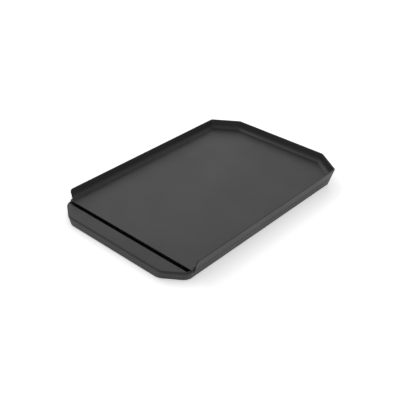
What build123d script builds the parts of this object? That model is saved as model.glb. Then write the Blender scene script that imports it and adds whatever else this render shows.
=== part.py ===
"""Electric griddle: a cast plate that lifts off a low base, and a drip tray that slides out of the end.

Millimetres. +X runs along the griddle to the power inlet, the drip tray is at -X and +Z is up.
The origin is the centre of the footprint, on the surface that the feet stand on.
"""

import os
from math import cos, hypot, radians, tan

from build123d import *

os.makedirs("parts", exist_ok=True)

# Overall shape
overall_length = 520.0  # tray front to the rim at the inlet end
overall_width = 355.0  # across the rim
overall_height = 41.0  # table to rim
wall_draft = 15.0  # lean of the walls, in degrees from upright
surface_height = 22.5  # cooking surface above the table
seam_height = 20.0  # top of the base and of the tray's ledge
rear_chamfer_x = 39.0  # corner at the inlet end, at the rim, along the length
rear_chamfer_y = 58.5  # and across the width
front_chamfer_x = 31.5  # corner of the tray front, at its lower edge, along the length
front_chamfer_y = 45.0  # and across the width
body_corner_round = 8.0  # plate's and base's corners, in plan
tray_corner_round = 22.0  # tray front's corners, in plan

# Drain end, measured back from the tray front
ledge_depth = 31.6  # flat ledge of the tray front
slot_width = 6.8  # drain slot, from the ledge to the plate's lip
lip_reach = 7.0  # plate's lip in front of its walls' ends
slot_end_margin = 6.5  # tray front left beside each end of the slot

# Griddle plate
plate_wall = 3.0
plate_floor = 4.0
cove_radius = 10.0  # between floor and walls
rim_round = 1.2
wall_end_round = 7.0  # upper corner of each wall, at the drain end
lip_round = 1.0

# Base shell
foot_height = 2.0  # base underside above the table
base_wall = 2.0
base_floor = 1.6
lower_edge_round = 1.2
tongue_inset = 12.0  # base floor under the drip tray, in from the tray front's outline

# Clearances
seam_gap = 0.4  # plate to base rim, and tray front to base
step_clearance = 0.6  # plate's lower step inside the base's rim
guard_clearance = 1.5  # inlet guard in the base's notch
slide_clearance = 0.3  # drip tray to what it slides on and stops at
snug = 0.05  # screws in their holes, tubes in their grooves and guides
cut_margin = 1.0  # how far a cutting shape runs past the faces that it opens

# Heating element, probe sleeve and terminals share one height
element_height = 12.8
element_diameter = 6.6
element_bend = 22.0
element_side_gap = 59.5  # outer runs, in from the overall width
element_inner_y = 45.0  # inner runs, each side of the centre line
element_front_gap = 56.6  # front runs, behind the plate's wall ends
element_turn_gap = 130.0  # where the inner runs join, in front of the inlet end
element_rear_gap = 70.0  # rear runs, in front of the inlet end
element_end_gap = 48.0  # ends of the tube, in front of the inlet end
rib_width = 12.0
sleeve_diameter = 9.0
probe_bore = 6.6
sleeve_length = 68.0
sleeve_cap = 4.0  # thickness of its closed end
sleeve_mouth_gap = 24.0  # open end, in front of the inlet end
sleeve_rib_width = 16.0
terminal_spacing = 25.4
terminal_diameter = 4.8
terminal_core = 3.0  # thin part of a terminal, inside its insulator
terminal_length = 15.0  # straight part that the plug grips
terminal_tip = 1.0
insulator_diameter = 9.0
insulator_length = 19.0

# Clamps for the element and the sleeve
clamp_seat = 10.6  # lower face of the screw bosses
clamp_sheet = 1.2
clamp_width = 10.0
clamp_end = 4.0  # strap beyond the middle of its screw
boss_diameter = 8.0
boss_gap = 1.0  # rib to boss
strap_shoulder = 0.9  # strap sheets between the tube's side and the strap's slope
strap_slant = 0.4  # how far the slope leans, in strap sheets
clamp_screw_diameter = 3.9
clamp_screw_grip = 7.0
front_clamp_gap = 60.0  # outer runs' front clamps, behind the front runs
rear_clamp_gap = 92.0  # outer runs' rear clamps, in front of the rear runs
inner_clamp_gap = 150.0  # inner runs' clamps, in front of where these runs join
probe_clip_gap = 18.0  # probe clip, behind the sleeve's closed end

# Inlet guard
guard_half_width = 30.0
guard_wall = 2.0
guard_bottom = 5.6
guard_setback = 1.0  # guard's mouth inside the base's rear face
guard_depth = 39.0  # guard's back wall, in front of the inlet end
ear_width = 12.0
ear_length = 14.0
ear_thickness = 2.0
guard_screw_grip = 2.6

# Screws and rivets
head_height = 1.9
head_ratio = 0.9  # head radius over screw diameter
recess_depth = 1.0
recess_width = 1.9
recess_span = 1.2  # length of the cross recess over the head's radius
rivet_head_ratio = 1 / 3  # rivet head height over its diameter

# Heat reflector on the base
reflector_front_gap = 43.6  # behind the plate's wall ends
reflector_rear_gap = 56.0  # in front of the inlet end
reflector_side_gap = 40.5  # in from the overall width
reflector_corner = 18.0
reflector_sheet = 0.5
reflector_lip = 2.4
reflector_boss = 1.0
washer_diameter = 9.0
washer_thickness = 0.8
reflector_screw_diameter = 2.9
reflector_screw_grip = 3.4
reflector_head_height = 1.5
reflector_screw_y = 80.0
reflector_screw_inset = 46.0  # front screws, behind the sheet's front edge
reflector_screw_gaps = [179.0, 44.0]  # other screws, in front of the sheet's rear edge

# Posts and pads under the plate
post_diameter = 14.0
pad_diameter = 10.0
pad_thickness = 2.2
pad_recess = 1.0
post_wall_margin = 9.0  # post's middle to the base wall's inner face, at the base floor, less its radius
post_front_gap = 66.6  # front posts, behind the plate's wall ends
post_rear_gap = 72.0  # rear posts, in front of the inlet end

# Feet
foot_diameter = 18.0
foot_stem_diameter = 7.0
foot_bulb_diameter = 9.6
foot_bulb_height = 2.6
foot_taper = 8.0  # degrees
front_foot_gaps = (48.6, 31.5)  # behind the plate's wall ends, and in from the overall width
rear_foot_gaps = (39.0, 79.5)  # in front of the inlet end, and in from the overall width

# Drip tray
tray_wall = 2.2
ledge_round = 4.0  # outer upper edge of the tray front
trough_sheet = 0.8
trough_overlap = 10.0  # trough under the ledge
trough_reach = 33.0  # trough behind the lip's edge
trough_slope_x = 4.0  # how much its long walls lean
trough_slope_y = 14.0  # how much its ends lean
trough_flange = 2.0
trough_corner = 10.0  # least chamfer on its front corners, along the length
tab_side_gap = 52.5  # outer tabs, in from the overall width
tab_inner_y = 45.0  # inner tabs, each side of the centre line
tab_width = 14.0
tab_length = 12.0
tab_height = 12.4
tray_boss_diameter = 7.0
tray_screw_diameter = 2.9
tray_screw_grip = 4.4
runner_width = 8.0
runner_height = 0.8
runner_length = 48.0
runner_y = 96.0
guide_sheet = 1.0
guide_height = 4.0
guide_length = 38.0
guide_setback = 2.0  # guide behind the base's front edge
guide_rivet_inset = 8.0  # rivets in from the guide's ends
rivet_diameter = 2.4
stop_length = 8.0
stop_width = 12.0
stop_stem_diameter = 5.0
stop_y = 112.0

# Places that follow from the sizes above
lean = tan(radians(wall_draft))
rim_trim = rim_round * (lean + 1 / cos(radians(wall_draft)) - 1)  # width that the rounded rim loses
front_x = -overall_length / 2
inlet_end_x = overall_length / 2
half_width = overall_width / 2
ledge_edge_x = front_x + ledge_depth
lip_x = ledge_edge_x + slot_width
wall_end_x = lip_x + lip_reach
plate_underside = surface_height - plate_floor
skirt_bottom = seam_height + seam_gap
floor_top = foot_height + base_floor
ledge_underside = seam_height - tray_wall
element_front_x = wall_end_x + element_front_gap
element_turn_x = inlet_end_x - element_turn_gap
element_rear_x = inlet_end_x - element_rear_gap
element_end_x = inlet_end_x - element_end_gap
element_outer_y = half_width - element_side_gap
sleeve_mouth_x = inlet_end_x - sleeve_mouth_gap
sleeve_cap_x = sleeve_mouth_x - sleeve_length
probe_clip_x = sleeve_cap_x + probe_clip_gap
guard_rear_x = inlet_end_x - guard_depth


def side_y(height, inset=0.0):
    """Half the width of the leaning outer faces at a height, less an inset."""
    return half_width + rim_trim - lean * (overall_height - height) - inset


def rear_x(height, inset=0.0):
    """Where the rear outer face stands at a height, less an inset."""
    return inlet_end_x + rim_trim - lean * (overall_height - height) - inset


def chamfered(side, cut_end, open_end, chamfer_x, chamfer_y, reach):
    """Corners of a plan, straight at open_end and chamfered at cut_end.

    chamfer_x and chamfer_y give the chamfer's direction, and reach is its distance from the origin.
    """
    diagonal = hypot(chamfer_x, chamfer_y)
    normal_x = chamfer_y / diagonal * (1 if cut_end > open_end else -1)
    normal_y = chamfer_x / diagonal
    on_side = ((reach - normal_y * side) / normal_x, side)
    on_end = (cut_end, (reach - normal_x * cut_end) / normal_y)
    half = [(open_end, side), on_side, on_end]
    return half + [(x, -y) for x, y in reversed(half)]


def chamfer_reach(end, side, chamfer_x, chamfer_y):
    """Distance from the origin to a chamfer that cuts this much off a corner."""
    return (chamfer_y * (abs(end) - chamfer_x) + chamfer_x * side) / hypot(chamfer_x, chamfer_y)


def body_corners(height, inset, front):
    """Corners of the plate's and the base's plan at a height."""
    reach = chamfer_reach(inlet_end_x, half_width, rear_chamfer_x, rear_chamfer_y)
    reach += rim_trim - lean * (overall_height - height) - inset
    return chamfered(side_y(height, inset), rear_x(height, inset), front,
                     rear_chamfer_x, rear_chamfer_y, reach)


def tray_reach(height, inset):
    """Distance from the origin to the tray front's corner chamfer at a height."""
    reach = chamfer_reach(front_x, side_y(foot_height), front_chamfer_x, front_chamfer_y)
    return reach + lean * (height - foot_height) - inset


def tray_corners(height, inset, rear):
    """Corners of the tray front's plan at a height."""
    return chamfered(side_y(height, inset), front_x + inset, rear,
                     front_chamfer_x, front_chamfer_y, tray_reach(height, inset))


def flat(corners, height):
    """A flat face with these corners at a height."""
    with BuildSketch(Plane.XY.offset(height)) as face:
        with BuildLine():
            Polyline(*corners, close=True)
        make_face()
    return face.sketch


def leaning(corners, low, high, inset, end):
    """Two outlines, at two heights, that a loft joins into leaning walls."""
    return [flat(corners(low, inset, end), low), flat(corners(high, inset, end), high)]


def corner_edges(part, cut_x):
    """The edges between leaning walls, without those at the straight cut end."""
    walls = part.edges().filter_by(lambda edge: abs((edge % 0.5).Z) > 0.5)
    return walls.filter_by(lambda edge: abs(edge.center().X - cut_x) > cut_margin)


def tube_path(points, height):
    """A bent centre line at one height, with the element's bend radius in every corner."""
    with BuildLine(Plane.XY.offset(height)) as path:
        FilletPolyline(*points, radius=element_bend)
    return path.wire()


def down_screws(places, seat, diameter, grip):
    """Pan-head screws driven upwards: heads under the seat, shanks above it."""
    head = diameter * head_ratio
    with Locations(*[(x, y, seat) for x, y in places]):
        Cylinder(diameter / 2, grip, align=(Align.CENTER, Align.CENTER, Align.MIN))
        Cylinder(head, head_height, align=(Align.CENTER, Align.CENTER, Align.MAX))
    with Locations(*[(x, y, seat - head_height) for x, y in places]):
        Box(head * recess_span, recess_width / 2, recess_depth, align=(Align.CENTER, Align.CENTER, Align.MIN),
            mode=Mode.SUBTRACT)
        Box(recess_width / 2, head * recess_span, recess_depth, align=(Align.CENTER, Align.CENTER, Align.MIN),
            mode=Mode.SUBTRACT)


def strap_profile(middle, tube_radius, half_width):
    """Section of a clamp strap: flat feet on the bosses and a trough under the tube."""
    tube_bottom = element_height - tube_radius
    shoulder = tube_radius - strap_shoulder * clamp_sheet
    foot = shoulder + clamp_sheet
    upper = [(-half_width, clamp_seat), (-foot, clamp_seat), (-shoulder, tube_bottom)]
    slant = strap_slant * clamp_sheet
    lower = [(-half_width, clamp_seat - clamp_sheet), (-foot - slant, clamp_seat - clamp_sheet),
             (-shoulder - slant, tube_bottom - clamp_sheet)]
    upper += [(-y, z) for y, z in reversed(upper)]
    lower += [(-y, z) for y, z in reversed(lower)]
    with BuildLine() as outline:
        Polyline(*[(middle + y, z) for y, z in upper + lower[::-1]], close=True)
    return outline.line


def mirrored(places):
    """The same places on both sides of the centre line."""
    return places + [(x, -y) for x, y in places]


# ---- Plate body ----

# Hollow above the cooking surface, with rounded corners and a cove along its foot
with BuildPart() as pan_space:
    loft(leaning(body_corners, surface_height, overall_height + rim_round, plate_wall, front_x), ruled=True)
    fillet(corner_edges(pan_space, front_x), cove_radius)
    foot_edges = pan_space.faces().sort_by(Axis.Z)[0].edges()
    fillet(foot_edges.filter_by(lambda edge: edge.center().X > front_x + cut_margin), cove_radius)

# Heating element: one tube bent into an M, its cold ends either side of the probe sleeve
terminal_y = terminal_spacing / 2
half_route = [
    (element_end_x, terminal_y),
    (element_rear_x, terminal_y),
    (element_rear_x, element_outer_y),
    (element_front_x, element_outer_y),
    (element_front_x, element_inner_y),
    (element_turn_x, element_inner_y),
]
element_route = half_route + [(x, -y) for x, y in reversed(half_route)]
element_wire = tube_path(element_route, element_height)
with BuildPart() as heating_element:
    with BuildSketch(Plane(origin=element_wire @ 0, z_dir=element_wire % 0)):
        Circle(element_diameter / 2)
    sweep(path=element_wire)

# Griddle plate: cast walls on three sides, flat floor with a lip, ribs and screw bosses underneath
outer_clamps_x = [element_front_x + front_clamp_gap, element_rear_x - rear_clamp_gap]
outer_clamps = [(x, y) for x in outer_clamps_x for y in (-element_outer_y, element_outer_y)]
inner_clamps = [(element_turn_x - inner_clamp_gap, y) for y in (-element_inner_y, element_inner_y)]
element_clamps_at = outer_clamps + inner_clamps
boss_offset = rib_width / 2 + boss_gap + boss_diameter / 2
clip_offset = sleeve_rib_width / 2 + boss_gap + boss_diameter / 2
clamp_bosses = [(x, y + side * boss_offset) for x, y in element_clamps_at for side in (-1, 1)]
clip_bosses = [(probe_clip_x, side * clip_offset) for side in (-1, 1)]
ear_x = guard_rear_x + ear_length / 2
ear_y = guard_half_width + ear_width / 2
guard_screws_at = [(ear_x, side * ear_y) for side in (-1, 1)]
lip_half_width = side_y(surface_height, plate_wall)

with BuildPart() as griddle_plate:
    loft(leaning(body_corners, skirt_bottom, overall_height, 0.0, wall_end_x), ruled=True)
    fillet(corner_edges(griddle_plate, wall_end_x), body_corner_round)
    add(pan_space.part, mode=Mode.SUBTRACT)
    with BuildSketch(Plane.XZ):
        with Locations((wall_end_x, overall_height)):
            Rectangle(wall_end_round, wall_end_round, align=(Align.MIN, Align.MAX))
        with Locations((wall_end_x + wall_end_round, overall_height - wall_end_round)):
            Circle(wall_end_round, mode=Mode.SUBTRACT)
    extrude(amount=overall_width, both=True, mode=Mode.SUBTRACT)
    fillet(griddle_plate.edges().group_by(Axis.Z)[-1], rim_round)
    with BuildSketch(Plane.XY.offset(skirt_bottom)):
        with Locations((lip_x, 0)):
            Rectangle(2 * lip_reach, 2 * lip_half_width, align=(Align.MIN, Align.CENTER))
    extrude(amount=surface_height - skirt_bottom)
    lip_edge = griddle_plate.edges().filter_by(Axis.Y).sort_by(Axis.X)[:2].sort_by(Axis.Z)[-1]
    fillet(lip_edge, lip_round)
    with BuildSketch(Plane.XY.offset(plate_underside)):
        add(flat(body_corners(plate_underside, base_wall + step_clearance, wall_end_x), 0))
    extrude(amount=plate_floor / 2)
    rib_height = plate_underside - element_height
    with BuildSketch(Plane(origin=element_wire @ 0, x_dir=(0, 1, 0), z_dir=element_wire % 0)) as rib:
        with Locations((0, -rib_height / 2)):
            Rectangle(rib_width, rib_height)
    sweep(path=element_wire)
    with BuildSketch(Plane.XY.offset(element_height)):
        with Locations((sleeve_cap_x, 0)):
            Rectangle(element_end_x - sleeve_cap_x, sleeve_rib_width, align=(Align.MIN, Align.CENTER))
    extrude(amount=rib_height)
    with Locations(*[(x, y, clamp_seat) for x, y in clamp_bosses + clip_bosses]):
        Cylinder(boss_diameter / 2, plate_underside - clamp_seat,
                 align=(Align.CENTER, Align.CENTER, Align.MIN))
        Cylinder(clamp_screw_diameter / 2 + snug, clamp_screw_grip,
                 align=(Align.CENTER, Align.CENTER, Align.MIN), mode=Mode.SUBTRACT)
    with Locations(*[(x, y, plate_underside) for x, y in guard_screws_at]):
        Cylinder(clamp_screw_diameter / 2 + snug, guard_screw_grip,
                 align=(Align.CENTER, Align.CENTER, Align.MIN), mode=Mode.SUBTRACT)
    with BuildSketch(Plane(origin=element_wire @ 0, z_dir=element_wire % 0)):
        Circle(element_diameter / 2 + snug)
    sweep(path=element_wire, mode=Mode.SUBTRACT)
    with BuildSketch(Plane.YZ.offset(sleeve_cap_x)):
        with Locations((0, element_height)):
            Circle(sleeve_diameter / 2 + snug)
    extrude(amount=element_end_x - sleeve_cap_x, mode=Mode.SUBTRACT)

# Clamps: one strap across the tube at each place, screwed up into two bosses
strap_half = boss_offset + clamp_end
with BuildPart() as element_clamps:
    for x, y in element_clamps_at:
        with BuildSketch(Plane.YZ.offset(x - clamp_width / 2)):
            add(strap_profile(y, element_diameter / 2, strap_half))
            make_face()
        extrude(amount=clamp_width)
    with Locations(*[(x, y, clamp_seat) for x, y in clamp_bosses]):
        Cylinder(clamp_screw_diameter / 2 + snug, 2 * clamp_sheet, mode=Mode.SUBTRACT)

with BuildPart() as clamp_screws:
    down_screws(clamp_bosses, clamp_seat - clamp_sheet, clamp_screw_diameter, clamp_screw_grip)

# Probe sleeve: closed tube that holds the plug's thermostat probe against the plate
with BuildPart() as probe_sleeve:
    with BuildSketch(Plane.YZ.offset(sleeve_cap_x)):
        with Locations((0, element_height)):
            Circle(sleeve_diameter / 2)
    extrude(amount=sleeve_mouth_x - sleeve_cap_x)
    with BuildSketch(Plane.YZ.offset(sleeve_cap_x + sleeve_cap)):
        with Locations((0, element_height)):
            Circle(probe_bore / 2)
    extrude(amount=sleeve_mouth_x - sleeve_cap_x, mode=Mode.SUBTRACT)

with BuildPart() as probe_clip:
    with BuildSketch(Plane.YZ.offset(probe_clip_x - clamp_width / 2)):
        add(strap_profile(0, sleeve_diameter / 2, clip_offset + clamp_end))
        make_face()
    extrude(amount=clamp_width)
    with Locations(*[(x, y, clamp_seat) for x, y in clip_bosses]):
        Cylinder(clamp_screw_diameter / 2 + snug, 2 * clamp_sheet, mode=Mode.SUBTRACT)

with BuildPart() as probe_clip_screws:
    down_screws(clip_bosses, clamp_seat - clamp_sheet, clamp_screw_diameter, clamp_screw_grip)

# Terminals: a thin core inside each insulator, then the round pin that the plug grips
insulator_end_x = element_end_x + insulator_length
terminals_at = [(side * terminal_y, element_height) for side in (-1, 1)]
with BuildPart() as terminal_pins:
    with BuildSketch(Plane.YZ.offset(element_end_x)):
        with Locations(*terminals_at):
            Circle(terminal_core / 2)
    extrude(amount=insulator_length)
    with BuildSketch(Plane.YZ.offset(insulator_end_x)):
        with Locations(*terminals_at):
            Circle(terminal_diameter / 2)
    extrude(amount=terminal_length + terminal_tip)
    chamfer(terminal_pins.faces().group_by(Axis.X)[-1].edges(), terminal_tip)

with BuildPart() as terminal_insulators:
    with BuildSketch(Plane.YZ.offset(element_end_x)):
        with Locations(*terminals_at):
            Circle(insulator_diameter / 2)
            Circle(terminal_core / 2, mode=Mode.SUBTRACT)
    extrude(amount=insulator_length)

# Inlet guard: open box around the terminals, hung from the plate by two ears
guard_mouth_x = rear_x(guard_bottom, guard_setback)
with BuildPart() as inlet_guard:
    with BuildSketch(Plane.XY.offset(guard_bottom)):
        with Locations((guard_rear_x, 0)):
            Rectangle(guard_mouth_x - guard_rear_x, 2 * guard_half_width, align=(Align.MIN, Align.CENTER))
    extrude(amount=plate_underside - guard_bottom)
    with BuildSketch(Plane.XY.offset(guard_bottom + guard_wall)):
        with Locations((guard_rear_x + guard_wall, 0)):
            Rectangle(overall_length, 2 * (guard_half_width - guard_wall), align=(Align.MIN, Align.CENTER))
    extrude(amount=plate_underside, mode=Mode.SUBTRACT)
    with BuildSketch(Plane.XY.offset(plate_underside - ear_thickness)):
        with Locations(*[(x, y) for x, y in guard_screws_at]):
            Rectangle(ear_length, ear_width)
    extrude(amount=ear_thickness)
    with BuildSketch(Plane.YZ.offset(guard_rear_x)):
        with Locations(*terminals_at):
            Circle(insulator_diameter / 2 + snug)
        with Locations((0, element_height)):
            Circle(sleeve_diameter / 2 + snug)
    extrude(amount=guard_wall, mode=Mode.SUBTRACT)
    with Locations(*[(x, y, plate_underside) for x, y in guard_screws_at]):
        Cylinder(clamp_screw_diameter / 2 + snug, 3 * ear_thickness, mode=Mode.SUBTRACT)

with BuildPart() as guard_screws:
    down_screws(guard_screws_at, plate_underside - ear_thickness, clamp_screw_diameter,
                ear_thickness + guard_screw_grip)

# ---- Base body ----

posts_y = side_y(floor_top, base_wall) - post_wall_margin - post_diameter / 2
front_post_x = wall_end_x + post_front_gap
rear_post_x = inlet_end_x - post_rear_gap
posts_x = [front_post_x, (front_post_x + rear_post_x) / 2, rear_post_x]
posts_at = mirrored([(x, posts_y) for x in posts_x])
front_foot = (wall_end_x + front_foot_gaps[0], half_width - front_foot_gaps[1])
rear_foot = (inlet_end_x - rear_foot_gaps[0], half_width - rear_foot_gaps[1])
feet_at = mirrored([front_foot, rear_foot])
stop_x = lip_x + trough_reach + trough_flange + slide_clearance
stops_at = mirrored([(stop_x, stop_y)])
trough_bottom = floor_top + runner_height + slide_clearance
trough_half_top = side_y(ledge_underside, tray_wall) - trough_flange - 2 * slide_clearance
trough_half_bottom = trough_half_top - trough_slope_y
guide_slope = trough_slope_y * (guide_height + floor_top - trough_bottom) / (ledge_underside - trough_bottom)
guide_y = trough_half_bottom + guide_slope + 2 * slide_clearance
guide_x = wall_end_x + guide_setback
guide_foot = side_y(floor_top, base_wall + slide_clearance) - guide_y
rivet_y = guide_y + guide_foot / 2
rivets_at = mirrored([(guide_x + guide_rivet_inset, rivet_y),
                      (guide_x + guide_length - guide_rivet_inset, rivet_y)])
post_top = plate_underside - pad_thickness + pad_recess
reflector_front_x = wall_end_x + reflector_front_gap
reflector_rear_x = inlet_end_x - reflector_rear_gap
reflector_half_width = half_width - reflector_side_gap
screws_x = [reflector_rear_x - gap for gap in reflector_screw_gaps]
screws_x.append(reflector_front_x + reflector_screw_inset)
reflector_screws_at = mirrored([(x, reflector_screw_y) for x in screws_x])

# Base shell: moulded tray, open at the drain end, with a tongue under the drip tray
with BuildPart() as base_space:
    loft(leaning(body_corners, floor_top, seam_height + cut_margin, base_wall, front_x), ruled=True)
    fillet(corner_edges(base_space, front_x), body_corner_round - base_wall)

with BuildPart() as base_shell:
    loft(leaning(body_corners, foot_height, seam_height, 0.0, wall_end_x), ruled=True)
    fillet(corner_edges(base_shell, wall_end_x), body_corner_round)
    fillet(base_shell.faces().sort_by(Axis.Z)[0].edges().filter_by(
        lambda edge: edge.center().X > wall_end_x + cut_margin), lower_edge_round)
    add(base_space.part, mode=Mode.SUBTRACT)
    with BuildSketch(Plane.XY.offset(foot_height)):
        add(flat(tray_corners(foot_height, tongue_inset, wall_end_x + tongue_inset), 0))
    extrude(amount=base_floor)
    with BuildSketch(Plane.XY.offset(guard_bottom - guard_clearance)):
        with Locations((guard_rear_x, 0)):
            Rectangle(overall_length, 2 * (guard_half_width + guard_clearance), align=(Align.MIN, Align.CENTER))
    extrude(amount=seam_height, mode=Mode.SUBTRACT)
    with Locations(*[(x, y, floor_top) for x, y in posts_at]):
        Cylinder(post_diameter / 2, post_top - floor_top, align=(Align.CENTER, Align.CENTER, Align.MIN))
    with Locations(*[(x, y, post_top) for x, y in posts_at]):
        Cylinder(pad_diameter / 2, pad_recess, align=(Align.CENTER, Align.CENTER, Align.MAX),
                 mode=Mode.SUBTRACT)
    with Locations(*[(x, y, floor_top) for x, y in reflector_screws_at]):
        Cylinder(boss_diameter / 2, reflector_boss, align=(Align.CENTER, Align.CENTER, Align.MIN))
        Cylinder(reflector_screw_diameter / 2 + snug, 4 * base_floor, mode=Mode.SUBTRACT)
    with Locations(*[(x, y, floor_top) for x, y in feet_at]):
        Cylinder(foot_stem_diameter / 2, 4 * base_floor, mode=Mode.SUBTRACT)
    with Locations(*[(x + stop_length / 2, y, floor_top) for x, y in stops_at]):
        Cylinder(stop_stem_diameter / 2, 4 * base_floor, mode=Mode.SUBTRACT)
    with Locations(*[(x, y, floor_top) for x, y in rivets_at]):
        Cylinder(rivet_diameter / 2, 4 * base_floor, mode=Mode.SUBTRACT)

# Rest pads: silicone discs in the posts' tops, which carry the plate
with BuildPart() as rest_pads:
    with Locations(*[(x, y, plate_underside) for x, y in posts_at]):
        Cylinder(pad_diameter / 2, pad_thickness, align=(Align.CENTER, Align.CENTER, Align.MAX))

# Feet: rubber discs pushed through the floor, held by a bulb above it
with BuildPart() as rubber_feet:
    with BuildSketch(Plane.XY):
        with Locations(*feet_at):
            Circle(foot_diameter / 2)
    extrude(amount=foot_height, taper=-foot_taper)
    with Locations(*[(x, y, foot_height) for x, y in feet_at]):
        Cylinder(foot_stem_diameter / 2, base_floor, align=(Align.CENTER, Align.CENTER, Align.MIN))
    with Locations(*[(x, y, floor_top) for x, y in feet_at]):
        Cone(foot_bulb_diameter / 2, foot_stem_diameter / 2, foot_bulb_height,
             align=(Align.CENTER, Align.CENTER, Align.MIN))

# Heat reflector: aluminised sheet with an upturned edge, on washers above the floor
sheet_bottom = floor_top + reflector_boss + washer_thickness
sheet_length = reflector_rear_x - reflector_front_x
sheet_middle = (reflector_rear_x + reflector_front_x) / 2
with BuildPart() as heat_reflector:
    with BuildSketch(Plane.XY.offset(sheet_bottom)) as reflector_plan:
        with Locations((sheet_middle, 0)):
            Rectangle(sheet_length, 2 * reflector_half_width)
        chamfer(reflector_plan.vertices(), reflector_corner)
    extrude(amount=reflector_lip)
    with BuildSketch(Plane.XY.offset(sheet_bottom + reflector_sheet)):
        offset(reflector_plan.sketch_local, -reflector_sheet)
    extrude(amount=reflector_lip, mode=Mode.SUBTRACT)
    with Locations(*[(x, y, sheet_bottom) for x, y in reflector_screws_at]):
        Cylinder(reflector_screw_diameter / 2 + snug, 4 * reflector_sheet, mode=Mode.SUBTRACT)

with BuildPart() as reflector_washers:
    with Locations(*[(x, y, sheet_bottom) for x, y in reflector_screws_at]):
        Cylinder(washer_diameter / 2, washer_thickness, align=(Align.CENTER, Align.CENTER, Align.MAX))
        Cylinder(reflector_screw_diameter / 2 + snug, 4 * washer_thickness, mode=Mode.SUBTRACT)

reflector_head = reflector_screw_diameter * head_ratio
with BuildPart() as reflector_screws:
    with Locations(*[(x, y, sheet_bottom + reflector_sheet) for x, y in reflector_screws_at]):
        Cylinder(reflector_screw_diameter / 2, reflector_screw_grip,
                 align=(Align.CENTER, Align.CENTER, Align.MAX))
        Cylinder(reflector_head, reflector_head_height, align=(Align.CENTER, Align.CENTER, Align.MIN))

# Tray runners: low strips that the trough slides along
with BuildPart() as tray_runners:
    with BuildSketch(Plane.XY.offset(floor_top)):
        with Locations(*mirrored([(front_x + tongue_inset + runner_width / 2, runner_y)])):
            Rectangle(runner_length, runner_width, align=(Align.MIN, Align.CENTER))
    extrude(amount=runner_height)

# Tray guides: angle strips beside the trough's ends
with BuildPart() as tray_guide_left:
    with BuildSketch(Plane.YZ.offset(guide_x)):
        with Locations((guide_y, floor_top)):
            Rectangle(guide_foot, guide_sheet, align=(Align.MIN, Align.MIN))
            Rectangle(guide_sheet, guide_height, align=(Align.MIN, Align.MIN))
    extrude(amount=guide_length)
    with Locations(*[(x, y, floor_top) for x, y in rivets_at if y > 0]):
        Cylinder(rivet_diameter / 2, 4 * guide_sheet, mode=Mode.SUBTRACT)

with BuildPart() as tray_guide_right:
    mirror(tray_guide_left.part, about=Plane.XZ)

rivet_length = base_floor + guide_sheet
with BuildPart() as guide_rivets:
    with Locations(*[(x, y, foot_height) for x, y in rivets_at]):
        Cylinder(rivet_diameter / 2, rivet_length, align=(Align.CENTER, Align.CENTER, Align.MIN))
    with Locations(*[(x, y, floor_top + guide_sheet) for x, y in rivets_at]):
        Cylinder(rivet_diameter, rivet_diameter * rivet_head_ratio, align=(Align.CENTER, Align.CENTER, Align.MIN))

# Tray stops: rubber blocks behind the trough, their stems pushed through the floor
with BuildPart() as tray_stops:
    with BuildSketch(Plane.XY.offset(floor_top)):
        with Locations(*stops_at):
            Rectangle(stop_length, stop_width, align=(Align.MIN, Align.CENTER))
    extrude(amount=ledge_underside - floor_top)
    with Locations(*[(x + stop_length / 2, y, floor_top) for x, y in stops_at]):
        Cylinder(stop_stem_diameter / 2, base_floor, align=(Align.CENTER, Align.CENTER, Align.MAX))

# ---- Drip tray body ----

# Tray front: moulded ledge and outer face, hollow underneath, with the drain slot cut behind the ledge
tray_rear_x = wall_end_x - seam_gap
slot_half = side_y(seam_height) - slot_end_margin
tab_y = [side * y for side in (-1, 1) for y in (tab_inner_y, half_width - tab_side_gap)]
tray_screws_at = [(ledge_edge_x - trough_overlap - tab_length / 2, y) for y in tab_y]
with BuildPart() as tray_space:
    loft(leaning(tray_corners, foot_height - cut_margin, ledge_underside, tray_wall, wall_end_x), ruled=True)
    fillet(corner_edges(tray_space, wall_end_x), tray_corner_round - tray_wall)

with BuildPart() as tray_front:
    loft(leaning(tray_corners, foot_height, seam_height, 0.0, tray_rear_x), ruled=True)
    fillet(corner_edges(tray_front, tray_rear_x), tray_corner_round)
    fillet(tray_front.faces().sort_by(Axis.Z)[-1].edges().filter_by(
        lambda edge: edge.center().X < tray_rear_x - cut_margin), ledge_round)
    add(tray_space.part, mode=Mode.SUBTRACT)
    with BuildSketch(Plane.XY.offset(ledge_underside - cut_margin)):
        with Locations((ledge_edge_x, 0)):
            Rectangle(overall_length, 2 * slot_half, align=(Align.MIN, Align.CENTER))
    extrude(amount=seam_height, mode=Mode.SUBTRACT)
    with Locations(*[(x, y, tab_height + trough_sheet) for x, y in tray_screws_at]):
        Cylinder(tray_boss_diameter / 2, ledge_underside - tab_height - trough_sheet,
                 align=(Align.CENTER, Align.CENTER, Align.MIN))
        Cylinder(tray_screw_diameter / 2 + snug, tray_screw_grip,
                 align=(Align.CENTER, Align.CENTER, Align.MIN), mode=Mode.SUBTRACT)

# Trough: pressed aluminium channel with a flange, screwed to the tray front by four tabs
trough_front_x = ledge_edge_x - trough_overlap
trough_rear_x = lip_x + trough_reach


def trough_corners(height, inset):
    """Corners of the trough's plan at a height: its walls lean out from its bottom to its flange."""
    rise = (height - trough_bottom) / (ledge_underside - trough_bottom)
    half = trough_half_bottom + trough_slope_y * rise - inset
    front = trough_front_x + trough_slope_x * (1 - rise) + inset
    rear = trough_rear_x - trough_slope_x * (1 - rise) - inset
    least_y = trough_corner * front_chamfer_y / front_chamfer_x
    reach = min(tray_reach(height, tray_wall + 2 * slide_clearance + trough_flange + inset),
                chamfer_reach(front, half, trough_corner, least_y))
    return chamfered(half, front, rear, front_chamfer_x, front_chamfer_y, reach)


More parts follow.
